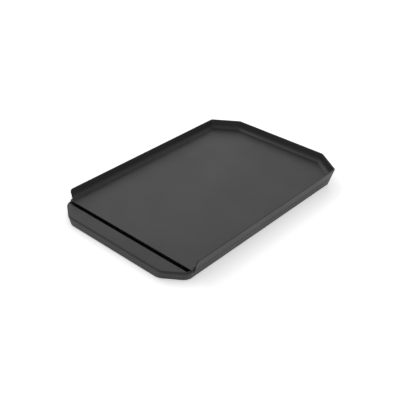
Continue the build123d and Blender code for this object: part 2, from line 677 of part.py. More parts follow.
with BuildPart() as trough:
    loft([flat(trough_corners(z, 0.0), z) for z in (trough_bottom, ledge_underside)], ruled=True)
    with BuildSketch(Plane.XY.offset(ledge_underside)) as flange:
        add(flat(trough_corners(ledge_underside, -trough_flange), 0))
        fillet(flange.vertices().filter_by(lambda corner: corner.X < wall_end_x),
               tray_corner_round - tray_wall - 2 * slide_clearance)
    extrude(amount=-trough_sheet)
    with BuildSketch(Plane.XY.offset(tab_height)):
        with Locations(*[(x, y) for x, y in tray_screws_at]):
            Rectangle(tab_length, tab_width)
        with Locations(*[(trough_front_x, y) for y in tab_y]):
            Rectangle(tab_length, tab_width)
    extrude(amount=trough_sheet)
    inner_bottom = trough_bottom + trough_sheet
    loft([flat(trough_corners(z, trough_sheet), z) for z in (inner_bottom, ledge_underside)],
         ruled=True, mode=Mode.SUBTRACT)
    with Locations(*[(x, y, tab_height) for x, y in tray_screws_at]):
        Cylinder(tray_screw_diameter / 2 + snug, 4 * trough_sheet, mode=Mode.SUBTRACT)

with BuildPart() as trough_screws:
    down_screws(tray_screws_at, tab_height, tray_screw_diameter, trough_sheet + tray_screw_grip)

# ---- STEP files, one for each piece ----

pieces = {
    "griddle_plate": griddle_plate,
    "heating_element": heating_element,
    "element_clamps": element_clamps,
    "clamp_screws": clamp_screws,
    "probe_sleeve": probe_sleeve,
    "probe_clip": probe_clip,
    "probe_clip_screws": probe_clip_screws,
    "terminal_pins": terminal_pins,
    "terminal_insulators": terminal_insulators,
    "inlet_guard": inlet_guard,
    "guard_screws": guard_screws,
    "base_shell": base_shell,
    "rest_pads": rest_pads,
    "rubber_feet": rubber_feet,
    "heat_reflector": heat_reflector,
    "reflector_washers": reflector_washers,
    "reflector_screws": reflector_screws,
    "tray_runners": tray_runners,
    "tray_guide_left": tray_guide_left,
    "tray_guide_right": tray_guide_right,
    "guide_rivets": guide_rivets,
    "tray_stops": tray_stops,
    "tray_front": tray_front,
    "trough": trough,
    "trough_screws": trough_screws,
}
for label, piece in pieces.items():
    piece.part.label = label
    export_step(piece.part, f"parts/{label}.step")
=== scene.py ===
import math

import bmesh
import bpy
import numpy as np
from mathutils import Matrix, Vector
from mathutils.bvhtree import BVHTree


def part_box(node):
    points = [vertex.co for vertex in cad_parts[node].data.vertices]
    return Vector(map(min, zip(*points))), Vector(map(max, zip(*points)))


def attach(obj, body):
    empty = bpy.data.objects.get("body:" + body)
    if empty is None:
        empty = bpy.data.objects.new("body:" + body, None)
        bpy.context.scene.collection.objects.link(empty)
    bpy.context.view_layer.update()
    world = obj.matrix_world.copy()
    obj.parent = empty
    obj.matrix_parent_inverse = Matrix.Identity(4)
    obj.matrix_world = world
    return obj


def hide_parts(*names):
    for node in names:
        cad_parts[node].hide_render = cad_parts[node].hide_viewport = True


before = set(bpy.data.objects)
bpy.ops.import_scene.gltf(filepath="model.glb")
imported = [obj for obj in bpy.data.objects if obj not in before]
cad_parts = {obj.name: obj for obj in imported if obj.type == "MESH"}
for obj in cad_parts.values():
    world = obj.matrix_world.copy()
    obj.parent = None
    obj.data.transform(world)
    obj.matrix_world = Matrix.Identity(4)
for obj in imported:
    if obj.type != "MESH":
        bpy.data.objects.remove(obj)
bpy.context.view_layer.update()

# ---- Camera and studio ----
# Three-quarter view from above the drip tray's corner, over a seamless white table.
# A pale dome lights everything evenly, and two softboxes behind the griddle give the shadow.
view_elevation = math.radians(33.0)
view_heading = math.radians(42.5)
view_lens = 62.7
eye = Vector((-0.9228, -0.8325, 0.7973))
looking = Vector((math.cos(view_elevation) * math.cos(view_heading),
                  math.cos(view_elevation) * math.sin(view_heading), -math.sin(view_elevation)))
camera = bpy.data.objects.new("camera", bpy.data.cameras.new("camera"))
camera.data.lens = view_lens
camera.location = eye
camera.rotation_euler = looking.to_track_quat("-Z", "Y").to_euler()
bpy.context.scene.collection.objects.link(camera)
bpy.context.scene.camera = camera
bpy.context.scene.view_settings.view_transform = "Standard"

dome_strength = 0.62
softboxes = {  # place, size across and watts
    "key_light": (Vector((0.1, 2.1, 2.2)), 1.6, 12.0),
    "back_light": (Vector((2.2, 2.1, 2.0)), 3.0, 18.5),
}

world = bpy.data.worlds.new("studio")
world.use_nodes = True
dome = world.node_tree.nodes["Background"]
dome.inputs["Color"].default_value = (1.0, 1.0, 1.0, 1.0)
dome.inputs["Strength"].default_value = dome_strength
bpy.context.scene.world = world

for name, (place, across, watts) in softboxes.items():
    softbox = bpy.data.objects.new(name, bpy.data.lights.new(name, "AREA"))
    softbox.data.energy = watts
    softbox.data.size = across
    softbox.location = place
    softbox.rotation_euler = (-place).to_track_quat("-Z", "Y").to_euler()
    bpy.context.scene.collection.objects.link(softbox)


def add_node(tree, kind, inputs=None, **settings):
    """A shader or geometry node with its settings, and its inputs set or linked by name or number."""
    made = tree.nodes.new(kind)
    for name, value in settings.items():
        setattr(made, name, value)
    for socket, value in (inputs or {}).items():
        if isinstance(value, bpy.types.NodeSocket):
            tree.links.new(value, made.inputs[socket])
        else:
            made.inputs[socket].default_value = value
    return made


def link_object(name, mesh):
    """A new object at the origin with this mesh."""
    piece = bpy.data.objects.new(name, mesh)
    bpy.context.scene.collection.objects.link(piece)
    return piece


table_reach = 9.0
table_glow = 0.43
table_mesh = bpy.data.meshes.new("table")
corners = [(-table_reach, -table_reach, 0), (table_reach, -table_reach, 0),
           (table_reach, table_reach, 0), (-table_reach, table_reach, 0)]
table_mesh.from_pydata(corners, [], [(0, 1, 2, 3)])
table = link_object("table", table_mesh)
table_paint = bpy.data.materials.new("table_white")
table_paint.use_nodes = True
table_shader = table_paint.node_tree.nodes["Principled BSDF"]
table_shader.inputs["Base Color"].default_value = (0.93, 0.93, 0.93, 1.0)
table_shader.inputs["Roughness"].default_value = 0.9
table_shader.inputs["Emission Color"].default_value = (1.0, 1.0, 1.0, 1.0)
table_shader.inputs["Emission Strength"].default_value = table_glow
table_mesh.materials.append(table_paint)

# ---- Finishes shared by many pieces ----
# Every moulded, cast or plated surface has a slow cloudiness, a fine grain and edges of another colour,
# partly rubbed wear and partly a painted highlight.


def new_group(name, inputs, outputs):
    """An empty shader node group, with its sockets, its input node and its output node."""
    tree = bpy.data.node_groups.new(name, "ShaderNodeTree")
    for socket, (kind, value) in inputs.items():
        made = tree.interface.new_socket(socket, in_out="INPUT", socket_type=kind)
        if value is not None:
            made.default_value = value
    for socket, kind in outputs.items():
        tree.interface.new_socket(socket, in_out="OUTPUT", socket_type=kind)
    return tree, tree.nodes.new("NodeGroupInput").outputs, tree.nodes.new("NodeGroupOutput").inputs


FLOAT, VECTOR = "NodeSocketFloat", "NodeSocketVector"

grain_group, given, result = new_group(
    "surface_grain",
    {"Place": (VECTOR, None), "Cloud Scale": (FLOAT, 14.0), "Grain Scale": (FLOAT, 1800.0),
     "Stretch": (VECTOR, (1.0, 1.0, 1.0))},
    {"Cloud": FLOAT, "Grain": FLOAT})
stretched = add_node(grain_group, "ShaderNodeVectorMath", {0: given["Place"], 1: given["Stretch"]},
                     operation="MULTIPLY")
cloud = add_node(grain_group, "ShaderNodeTexNoise",
                 {"Vector": given["Place"], "Scale": given["Cloud Scale"], "Detail": 4.0, "Roughness": 0.6})
grain = add_node(grain_group, "ShaderNodeTexNoise",
                 {"Vector": stretched.outputs[0], "Scale": given["Grain Scale"], "Detail": 2.0,
                  "Roughness": 0.55})
grain_group.links.new(cloud.outputs["Fac"], result["Cloud"])
grain_group.links.new(grain.outputs["Fac"], result["Grain"])

edge_group, given, result = new_group(
    "edge_wear_and_highlight",
    {"Place": (VECTOR, None), "Radius": (FLOAT, 0.0005), "Amount": (FLOAT, 0.5)},
    {"Mask": FLOAT})
# Marks convex edges only. The colour put there is partly rubbed wear and partly a painted highlight where
# an edge catches the light.
closeness = add_node(edge_group, "ShaderNodeAmbientOcclusion", {"Distance": given["Radius"]}, samples=8,
                     inside=True, only_local=True)
outward = add_node(edge_group, "ShaderNodeMapRange",
                   {"Value": closeness.outputs["AO"], "From Min": 0.85, "From Max": 0.45})
patchy = add_node(edge_group, "ShaderNodeTexNoise",
                  {"Vector": given["Place"], "Scale": 60.0, "Detail": 3.0})
patches = add_node(edge_group, "ShaderNodeMapRange",
                   {"Value": patchy.outputs["Fac"], "From Min": 0.35, "From Max": 0.65, "To Min": 0.35})
wear_and_highlight = add_node(edge_group, "ShaderNodeMath", {0: outward.outputs[0], 1: patches.outputs[0]},
                operation="MULTIPLY")
amount = add_node(edge_group, "ShaderNodeMath", {0: wear_and_highlight.outputs[0], 1: given["Amount"]},
                  operation="MULTIPLY")
edge_group.links.new(amount.outputs[0], result["Mask"])


def grey(value, warmth=0.0):
    """A near-neutral colour."""
    return (value * (1 + warmth), value, value * (1 - warmth), 1.0)


def finish(name, color, roughness, tint=None, metal=0.0, cloud_scale=14.0, tone_spread=0.12,
           gloss_spread=0.10, grain_scale=1800.0, stretch=(1, 1, 1), grain_depth=0.00002,
           edge_color=None, edge_radius=0.0005, edge_amount=0.5):
    """A material with cloudy tone and gloss, a fine grain and edges of another colour, partly wear and
    partly painted highlight.
    """
    paint = bpy.data.materials.new(name)
    paint.use_nodes = True
    tree = paint.node_tree
    shader = tree.nodes["Principled BSDF"]
    shader.inputs["Metallic"].default_value = metal
    place = add_node(tree, "ShaderNodeTexCoord", name="place").outputs["Object"]
    surface = add_node(tree, "ShaderNodeGroup", {}, name="surface", node_tree=grain_group)
    for socket, value in (("Cloud Scale", cloud_scale), ("Grain Scale", grain_scale), ("Stretch", stretch)):
        surface.inputs[socket].default_value = value
    tree.links.new(place, surface.inputs["Place"])
    spread = add_node(tree, "ShaderNodeMapRange",
                      {"Value": surface.outputs["Cloud"], "From Min": 0.3, "From Max": 0.7})
    tinted = add_node(tree, "ShaderNodeMix", {0: spread.outputs[0], 6: color, 7: tint or color},
                      data_type="RGBA")
    tone = add_node(tree, "ShaderNodeMapRange", {"Value": surface.outputs["Cloud"], "From Min": 0.3,
                    "From Max": 0.7, "To Min": 1 - tone_spread, "To Max": 1 + tone_spread})
    toned = add_node(tree, "ShaderNodeMix", {0: 1.0, 6: tinted.outputs[2], 7: tone.outputs[0]},
                     data_type="RGBA", blend_type="MULTIPLY")
    edges = add_node(tree, "ShaderNodeGroup", {}, name="edges", node_tree=edge_group)
    edges.inputs["Radius"].default_value = edge_radius
    edges.inputs["Amount"].default_value = edge_amount
    tree.links.new(place, edges.inputs["Place"])
    lighter = edge_color or tuple(min(1.0, 2.2 * channel) for channel in color[:3]) + (1.0,)
    final = add_node(tree, "ShaderNodeMix", {0: edges.outputs["Mask"], 6: toned.outputs[2], 7: lighter},
                     name="color", data_type="RGBA")
    gloss = add_node(tree, "ShaderNodeMapRange", {"Value": surface.outputs["Cloud"], "From Min": 0.3,
                     "From Max": 0.7, "To Min": roughness * (1 - gloss_spread),
                     "To Max": roughness * (1 + gloss_spread)}, name="gloss")
    bump = add_node(tree, "ShaderNodeBump", {"Height": surface.outputs["Grain"], "Strength": 1.0,
                    "Distance": grain_depth}, name="bump")
    tree.links.new(final.outputs[2], shader.inputs["Base Color"])
    tree.links.new(gloss.outputs[0], shader.inputs["Roughness"])
    tree.links.new(bump.outputs[0], shader.inputs["Normal"])
    return paint


def settle(piece, name, body, paint, nodes, smooth_angle=40.0, true_faces=None, reach=0.0):
    """Makes a piece with modifiers a plain mesh, gives it its finish and body, and hides the CAD nodes it
    stands in for.
    """
    mesh = bpy.data.meshes.new_from_object(piece.evaluated_get(bpy.context.evaluated_depsgraph_get()))
    bpy.data.objects.remove(piece)
    clean = bmesh.new()
    clean.from_mesh(mesh)
    bmesh.ops.remove_doubles(clean, verts=clean.verts, dist=1e-6)
    for vert in clean.verts if true_faces else ():
        spot, _, _, off = true_faces.find_nearest(vert.co)
        if off > reach:
            vert.co = spot
    bmesh.ops.triangulate(clean, faces=[face for face in clean.faces if len(face.verts) > 4])
    clean.to_mesh(mesh)
    clean.free()
    mesh.materials.clear()
    mesh.materials.append(paint)
    mesh.shade_smooth()
    mesh.set_sharp_from_angle(angle=math.radians(smooth_angle))
    made = link_object(name, mesh)
    shading = made.modifiers.new("flat_faces_stay_flat", "WEIGHTED_NORMAL")
    shading.keep_sharp = True
    made.data = bpy.data.meshes.new_from_object(made.evaluated_get(bpy.context.evaluated_depsgraph_get()))
    made.modifiers.clear()
    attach(made, body)
    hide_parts(*nodes)
    return made


merge_gap = 2e-6
flat_angle = math.radians(0.4)  # faces that lean less than this are one face
sharp_angle = math.radians(32.0)  # edges that turn more than this are rounded


def merged_copy(node):
    """A CAD node's mesh with its loose triangles joined."""
    solid = bmesh.new()
    solid.from_mesh(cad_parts[node].data)
    bmesh.ops.remove_doubles(solid, verts=solid.verts, dist=merge_gap)
    return solid


def soften(node, name, body, paint, width, segments=2):
    """A copy of a CAD piece whose sharp edges get a small round, as moulded and pressed edges have."""
    solid = merged_copy(node)
    bmesh.ops.dissolve_limit(solid, angle_limit=flat_angle, verts=solid.verts, edges=solid.edges)
    mesh = bpy.data.meshes.new(name)
    solid.to_mesh(mesh)
    faces = BVHTree.FromBMesh(solid)
    solid.free()
    piece = link_object(name + "_sharp", mesh)
    rounding = piece.modifiers.new("edge_round", "BEVEL")
    rounding.width = width
    rounding.segments = segments
    rounding.limit_method = "ANGLE"
    rounding.angle_limit = sharp_angle
    rounding.use_clamp_overlap = False
    return settle(piece, name, body, paint, [node], true_faces=faces, reach=width)


# ---- Griddle plate ----
# Cast aluminium: floor, lip, skirt and three walls in one, with a dark satin non-stick coat on top.
# The underside keeps the bare, grainy casting, with a little overspray along its edge.
# The coat's lighter edge colour is partly rubbing and partly a painted highlight along the lip and rim.
coat = finish("nonstick_coat", grey(0.014), 0.48, cloud_scale=9.0, tone_spread=0.10, gloss_spread=0.08,
              grain_scale=1400.0, grain_depth=0.000012, edge_color=grey(0.06), edge_radius=0.0006,
              edge_amount=0.45)
bare_height = 0.0188  # where the coat stops, above the table
overspray = 0.0007
cast_dark, cast_light, cast_roughness, cast_depth = grey(0.33), grey(0.52), 0.58, 0.00025
tree = coat.node_tree
height = add_node(tree, "ShaderNodeSeparateXYZ", {0: tree.nodes["place"].outputs["Object"]})
drift = add_node(tree, "ShaderNodeMath", {0: tree.nodes["surface"].outputs["Cloud"], 1: overspray,
                 2: height.outputs["Z"]}, operation="MULTIPLY_ADD")
bare = add_node(tree, "ShaderNodeMapRange", {"Value": drift.outputs[0], "From Min": bare_height + overspray,
                "From Max": bare_height})
cast_grain = add_node(tree, "ShaderNodeTexNoise", {"Vector": tree.nodes["place"].outputs["Object"],
                      "Scale": 260.0, "Detail": 5.0, "Roughness": 0.7})
cast_color = add_node(tree, "ShaderNodeMix", {0: cast_grain.outputs["Fac"], 6: cast_dark, 7: cast_light},
                      data_type="RGBA")
surface_color = add_node(tree, "ShaderNodeMix", {0: bare.outputs[0], 6: tree.nodes["color"].outputs[2],
                         7: cast_color.outputs[2]}, data_type="RGBA")
surface_gloss = add_node(tree, "ShaderNodeMix", {0: bare.outputs[0], 2: tree.nodes["gloss"].outputs[0],
                         3: cast_roughness})
cast_height = add_node(tree, "ShaderNodeMath", {0: cast_grain.outputs["Fac"], 1: bare.outputs[0]},
                       operation="MULTIPLY")
cast_bump = add_node(tree, "ShaderNodeBump", {"Height": cast_height.outputs[0], "Distance": cast_depth,
                     "Normal": tree.nodes["bump"].outputs[0]})
shader = tree.nodes["Principled BSDF"]
tree.links.new(surface_color.outputs[2], shader.inputs["Base Color"])
tree.links.new(surface_gloss.outputs[0], shader.inputs["Roughness"])
tree.links.new(bare.outputs[0], shader.inputs["Metallic"])
tree.links.new(cast_bump.outputs[0], shader.inputs["Normal"])
soften("griddle_plate", "griddle_plate_cast", "plate", coat, 0.00035)

# ---- Heating element ----
# One steel sheath tube bent into an M, tinted straw to blue by its own heat.
# Straps hold it up against the plate's ribs.
sheath = finish("heat_tinted_sheath", (0.30, 0.24, 0.18, 1.0), 0.36, tint=(0.13, 0.14, 0.19, 1.0),
                metal=1.0, cloud_scale=22.0, tone_spread=0.2, gloss_spread=0.25, grain_scale=700.0,
                grain_depth=0.00004, edge_amount=0.2)
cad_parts["heating_element"].material_slots[0].material = sheath

# ---- Screws and rivets ----
# Zinc-plated pan heads with a cross recess over threaded shanks.
# One of each kind is turned, and it is then set out wherever the assembly has one.
zinc = finish("zinc_plate", (0.56, 0.58, 0.62, 1.0), 0.30, tint=(0.62, 0.59, 0.50, 1.0), metal=1.0,
              cloud_scale=90.0, tone_spread=0.10, gloss_spread=0.3, grain_scale=2600.0,
              grain_depth=0.000012, edge_color=(0.75, 0.75, 0.76, 1.0), edge_amount=0.4)


def turned(name, profile, segments=32, axis="Z"):
    """A closed mesh turned round an axis from (radius, height) points. A radius of 0 is a pole."""
    made = bmesh.new()
    rings = []
    for radius, along in profile:
        count = 1 if radius == 0 else segments
        ring = []
        for step in range(count):
            turn = 2 * math.pi * step / segments
            spot = (radius * math.cos(turn), radius * math.sin(turn), along)
            ring.append(made.verts.new(spot if axis == "Z" else (along, spot[0], spot[1])))
        rings.append(ring)
    hollow = profile[0][0] > 0
    for ring, after in zip(rings, rings[1:] + (rings[:1] if hollow else [])):
        for step in range(segments):
            low = [ring[step % len(ring)], ring[(step + 1) % len(ring)]]
            high = [after[(step + 1) % len(after)], after[step % len(after)]]
            made.faces.new(list(dict.fromkeys(low + high)))
    bmesh.ops.recalc_face_normals(made, faces=made.faces)
    mesh = bpy.data.meshes.new(name)
    made.to_mesh(mesh)
    made.free()
    return mesh


def arc_points(middle, radius, start, end, steps=4):
    """(radius, height) points on a round edge, from one angle to another, in degrees."""
    spots = []
    for step in range(steps + 1):
        angle = math.radians(start + (end - start) * step / steps)
        spots.append((middle[0] + radius * math.cos(angle), middle[1] + radius * math.sin(angle)))
    return spots


thread_pitch = 0.0009
dome_share = 0.6  # of the head's height
thread_core, point_share = 0.82, 0.7  # of the shank's radius
slot_reach, slot_half_width = 0.62, 0.16  # of the head's radius
slot_depth = 0.55  # of the head's height


def screw_mesh(name, head_radius, head_height, shank_radius, shank_length, up=1):
    """A pan-head screw whose head's bearing face is at height 0 and whose shank points up or down."""
    dome = head_height * dome_share
    profile = [(0.0, -head_height)]
    profile += arc_points((head_radius - dome, dome - head_height), dome, -90, 0, 5)
    profile += [(head_radius, 0.0), (shank_radius, 0.0)]
    for turn in range(int(shank_length / thread_pitch) - 1):
        profile += [(shank_radius * thread_core, thread_pitch * (turn + 0.5)),
                    (shank_radius, thread_pitch * (turn + 1.0))]
    profile += [(shank_radius * point_share, shank_length), (0.0, shank_length)]
    mesh = turned(name, [(radius, up * along) for radius, along in profile], 24)
    blank = link_object(name, mesh)
    cutter = link_object(name + "_recess", bpy.data.meshes.new(name + "_recess"))
    cross = bmesh.new()
    for half_x, half_y in ((slot_half_width, slot_reach), (slot_reach, slot_half_width)):
        box = bmesh.ops.create_cube(cross, size=2.0)["verts"]
        bmesh.ops.scale(cross, vec=(head_radius * half_x, head_radius * half_y, head_height * slot_depth),
                        verts=box)
        bmesh.ops.translate(cross, vec=(0, 0, -up * head_height), verts=box)
    cross.to_mesh(cutter.data)
    cross.free()
    recess = blank.modifiers.new("recess", "BOOLEAN")
    recess.object = cutter
    recess.operation = "DIFFERENCE"
    recess.use_self = True
    made = bpy.data.meshes.new_from_object(blank.evaluated_get(bpy.context.evaluated_depsgraph_get()))
    bpy.data.objects.remove(blank)
    bpy.data.objects.remove(cutter)
    return made


def places_of(node):
    """The box of each separate solid of a CAD node, as lowest and highest corners."""
    solid = merged_copy(node)
    left, found = set(solid.verts), []
    while left:
        reached = [left.pop()]
        for vert in reached:
            for other in (edge.other_vert(vert) for edge in vert.link_edges):
                if other in left:
                    left.remove(other)
                    reached.append(other)
        spots = np.array([vert.co for vert in reached])
        found.append((Vector(spots.min(0)), Vector(spots.max(0))))
    solid.free()
    return sorted(found, key=lambda box: tuple(round(value, 5) for value in box[0]))


set_out_tree = bpy.data.node_groups.new("set_out", "GeometryNodeTree")
set_out_tree.interface.new_socket("Geometry", in_out="INPUT", socket_type="NodeSocketGeometry")
set_out_inputs = {name: set_out_tree.interface.new_socket(name, in_out="INPUT", socket_type=kind).identifier
                  for name, kind in (("Piece", "NodeSocketObject"), ("Turn", "NodeSocketFloat"),
                                     ("Seed", "NodeSocketInt"), ("Finish", "NodeSocketMaterial"))}
set_out_tree.interface.new_socket("Geometry", in_out="OUTPUT", socket_type="NodeSocketGeometry")
given = set_out_tree.nodes.new("NodeGroupInput").outputs
piece_info = add_node(set_out_tree, "GeometryNodeObjectInfo", {"Object": given["Piece"]})
any_turn = add_node(set_out_tree, "FunctionNodeRandomValue", {"Max": given["Turn"], "Seed": given["Seed"]})
turn_vector = add_node(set_out_tree, "ShaderNodeCombineXYZ", {"Z": any_turn.outputs[1]})
set_places = add_node(set_out_tree, "GeometryNodeInstanceOnPoints",
                      {"Points": given["Geometry"], "Instance": piece_info.outputs["Geometry"],
                       "Rotation": turn_vector.outputs[0]})
realized = add_node(set_out_tree, "GeometryNodeRealizeInstances", {0: set_places.outputs[0]})
painted = add_node(set_out_tree, "GeometryNodeSetMaterial",
                   {"Geometry": realized.outputs[0], "Material": given["Finish"]})
set_out_tree.links.new(painted.outputs[0], set_out_tree.nodes.new("NodeGroupOutput").inputs[0])


def set_out(name, mesh, spots, body, paint, node, turn=2 * math.pi, seed=1):
    """One piece, repeated at each spot and turned at random about its upright axis."""
    one = link_object(name + "_one", mesh)
    points = bpy.data.meshes.new(name + "_points")
    points.from_pydata([tuple(spot) for spot in spots], [], [])
    piece = link_object(name + "_points", points)
    spread = piece.modifiers.new("set_out", "NODES")
    spread.node_group = set_out_tree
    for socket, value in (("Piece", one), ("Turn", turn), ("Seed", seed), ("Finish", paint)):
        spread[set_out_inputs[socket]] = value
    made = settle(piece, name, body, paint, [node])
    bpy.data.objects.remove(one)
    return made


def seats(node, height):
    """The middle of each solid of a node, at one height."""
    return [((low.x + high.x) / 2, (low.y + high.y) / 2, height) for low, high in places_of(node)]


screws = (  # node, body, head radius and height, shank radius and length, shank's direction, seed
    ("clamp_screws", "plate", 0.0035, 0.0019, 0.00193, 0.0070, 1, 3),
    ("probe_clip_screws", "plate", 0.0035, 0.0019, 0.00193, 0.0070, 1, 5),
    ("guard_screws", "plate", 0.0035, 0.0019, 0.00193, 0.0046, 1, 7),
    ("reflector_screws", "base", 0.0026, 0.0015, 0.00143, 0.0034, -1, 9),
    ("trough_screws", "drip_tray", 0.0026, 0.0019, 0.00143, 0.0052, 1, 11),
)
for node, body, head_radius, head_height, shank_radius, shank_length, up, seed in screws:
    low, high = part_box(node)
    bearing = low.z + head_height if up > 0 else high.z - head_height
    screw = screw_mesh(node + "_shape", head_radius, head_height, shank_radius, shank_length, up=up)
    set_out(node + "_set", screw, seats(node, bearing), body, zinc, node, seed=seed)

rivet_low, rivet_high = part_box("guide_rivets")
rivet_top = rivet_high.z - rivet_low.z
rivet_shank, rivet_head, rivet_dome = 0.0012, 0.0024, 0.0008
rivet_seat = rivet_top - rivet_dome
rivet = turned("guide_rivet", [(0.0, 0.0), (rivet_shank - 0.00015, 0.0), (rivet_shank, 0.00015),
               (rivet_shank, rivet_seat), (rivet_head, rivet_seat)]
               + arc_points((rivet_head - rivet_dome, rivet_seat), rivet_dome, 0, 90, 5)
               + [(0.0, rivet_top)])
set_out("guide_rivets_set", rivet, seats("guide_rivets", rivet_low.z), "base", zinc,
        "guide_rivets", seed=13)

# ---- Clamp straps and probe clip ----
# Plated steel straps pressed to shape, which hold the element and the probe sleeve up in their grooves.
soften("element_clamps", "element_clamps_pressed", "plate", zinc, 0.0002)
soften("probe_clip", "probe_clip_pressed", "plate", zinc, 0.0002)

# ---- Probe sleeve and terminals ----
# A plated tube, closed at its inner end, beside two nickel-plated pins in ceramic beads.
sleeve_low, sleeve_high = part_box("probe_sleeve")
sleeve_middle = (0.0, (sleeve_low.z + sleeve_high.z) / 2)
sleeve_outer = (sleeve_high.z - sleeve_low.z) / 2
sleeve_bore = 0.0033
sleeve_cap = 0.004
closed_round, mouth_round, mouth_flare = 0.0015, 0.0004, 0.0005
sleeve_length = sleeve_high.x - sleeve_low.x
mouth_outer = (sleeve_outer - mouth_round, sleeve_length - mouth_round)
mouth_inner = (sleeve_bore + mouth_flare, sleeve_length - mouth_flare)
sleeve = turned("probe_sleeve_one", [(0.0, 0.0)]
                + arc_points((sleeve_outer - closed_round, closed_round), closed_round, -90, 0)
                + arc_points(mouth_outer, mouth_round, 0, 90, 3)
                + arc_points(mouth_inner, mouth_flare, 90, 180, 3)
                + [(sleeve_bore, sleeve_cap + 0.001), (sleeve_bore * 0.7, sleeve_cap), (0.0, sleeve_cap)],
                axis="X")
set_out("probe_sleeve_drawn", sleeve, [(sleeve_low.x, sleeve_middle[0], sleeve_middle[1])], "plate",
        zinc, "probe_sleeve", turn=0.0)

nickel = finish("nickel_plate", (0.70, 0.67, 0.60, 1.0), 0.18, metal=1.0, cloud_scale=120.0,
                tone_spread=0.06, gloss_spread=0.4, grain_scale=900.0, stretch=(0.2, 1.0, 1.0),
                grain_depth=0.000008, edge_amount=0.2)
pin_low, pin_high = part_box("terminal_pins")
bead_low, bead_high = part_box("terminal_insulators")
bead_length = bead_high.x - bead_low.x
pin_length = pin_high.x - pin_low.x
pin_radius = 0.0024
pin_bevel = 0.0002
pin_nose = 0.0012
core_radius = 0.0015
pin = turned("terminal_pin_one", [(0.0, 0.0), (core_radius, 0.0), (core_radius, bead_length),
             (pin_radius - pin_bevel, bead_length), (pin_radius, bead_length + pin_bevel)]
             + arc_points((pin_radius - pin_nose, pin_length - pin_nose), pin_nose, 0, 80, 5)
             + [(0.0, pin_length)], axis="X")
pin_spots = [(low.x, (low.y + high.y) / 2, (low.z + high.z) / 2)
             for low, high in places_of("terminal_pins")]
set_out("terminal_pins_turned", pin, pin_spots, "plate", nickel, "terminal_pins",
        turn=0.0)

ceramic = finish("bead_ceramic", (0.80, 0.77, 0.70, 1.0), 0.62, tint=(0.84, 0.82, 0.77, 1.0),
                 cloud_scale=200.0, tone_spread=0.04, grain_scale=3000.0, grain_depth=0.00003,
                 edge_color=(0.66, 0.62, 0.55, 1.0), edge_amount=0.25)
bead_radius = (bead_high.z - bead_low.z) / 2
bead_round = 0.0006
groove_depth, groove_half, groove_floor_half = 0.0005, 0.0012, 0.0008
bead_profile = [(core_radius, 0.0)]
bead_profile += arc_points((bead_radius - bead_round, bead_round), bead_round, -90, 0, 3)
for share in (0.35, 0.65):
    middle = bead_length * share
    bead_profile += [(bead_radius, middle - groove_half),
                     (bead_radius - groove_depth, middle - groove_floor_half),
                     (bead_radius - groove_depth, middle + groove_floor_half),
                     (bead_radius, middle + groove_half)]
bead_profile += arc_points((bead_radius - bead_round, bead_length - bead_round), bead_round, 0, 90, 3)
bead_profile += [(core_radius, bead_length)]
bead = turned("terminal_bead_one", bead_profile, axis="X")
set_out("terminal_beads", bead, pin_spots, "plate", ceramic, "terminal_insulators",
        turn=0.0)

# ---- Inlet guard ----
# Black heat-proof moulding round the terminals, hung from the plate by two ears.
phenolic = finish("guard_phenolic", grey(0.013), 0.40, cloud_scale=45.0, tone_spread=0.18,
                  grain_scale=1100.0, grain_depth=0.00003, edge_color=grey(0.05), edge_amount=0.35)
soften("inlet_guard", "inlet_guard_moulded", "plate", phenolic, 0.0004)

# ---- Base ----
# One shallow moulding with leaning walls, posts for the plate and a tongue under the drip tray.
moulding = finish("base_moulding", grey(0.014), 0.50, grain_scale=900.0, grain_depth=0.00003,
                  edge_color=grey(0.045), edge_amount=0.3)
soften("base_shell", "base_shell_moulded", "base", moulding, 0.0004)

# ---- Heat reflector ----
# Bright aluminised sheet with a turned-up edge and pressed beads that keep it from drumming.
bright = finish("aluminised_sheet", (0.66, 0.67, 0.68, 1.0), 0.26, tint=(0.58, 0.59, 0.61, 1.0),
                metal=1.0, cloud_scale=30.0, tone_spread=0.06, gloss_spread=0.3, grain_scale=500.0,
                stretch=(0.04, 1.0, 1.0), grain_depth=0.00001, edge_amount=0.3)
sheet_low, sheet_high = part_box("heat_reflector")
sheet_gauge = 0.0005
sheet_corner = 0.018
fold_steps = [0.0, 0.0002, 0.0005, 0.0009, 0.0014, 0.0020, 0.0030]
bead_rise = 0.0010
bead_half = 0.0045
bead_ring_inset = 0.016
bead_lines = (-0.040, 0.0, 0.040)
bead_end_inset = 0.050
sheet_step = 0.003


def across(low, high):
    """Positions from edge to edge, close together in the folds at both edges."""
    inner = np.arange(low + fold_steps[-1] + sheet_step, high - fold_steps[-1] - sheet_step / 2, sheet_step)
    return np.concatenate([low + np.array(fold_steps), inner, high - np.array(fold_steps[::-1])])


def bead_lift(x, y):
    """How far the beads lift the sheet: three long ones and one ring along the edge."""
    half_x, half_y = (sheet_high.x - sheet_low.x) / 2, (sheet_high.y - sheet_low.y) / 2
    middle_x = (sheet_high.x + sheet_low.x) / 2
    ring = min(half_x - abs(x - middle_x), half_y - abs(y),
               (half_x - abs(x - middle_x) + half_y - abs(y) - sheet_corner) * math.sqrt(0.5))
    reach = [abs(ring - bead_ring_inset)]
    for line in bead_lines:
        past = max(0.0, abs(x - middle_x) - (half_x - bead_end_inset))
        reach.append(math.hypot(y - line, past))
    near = min(reach) / bead_half
    return bead_rise * (0.5 + 0.5 * math.cos(math.pi * near)) if near < 1 else 0.0


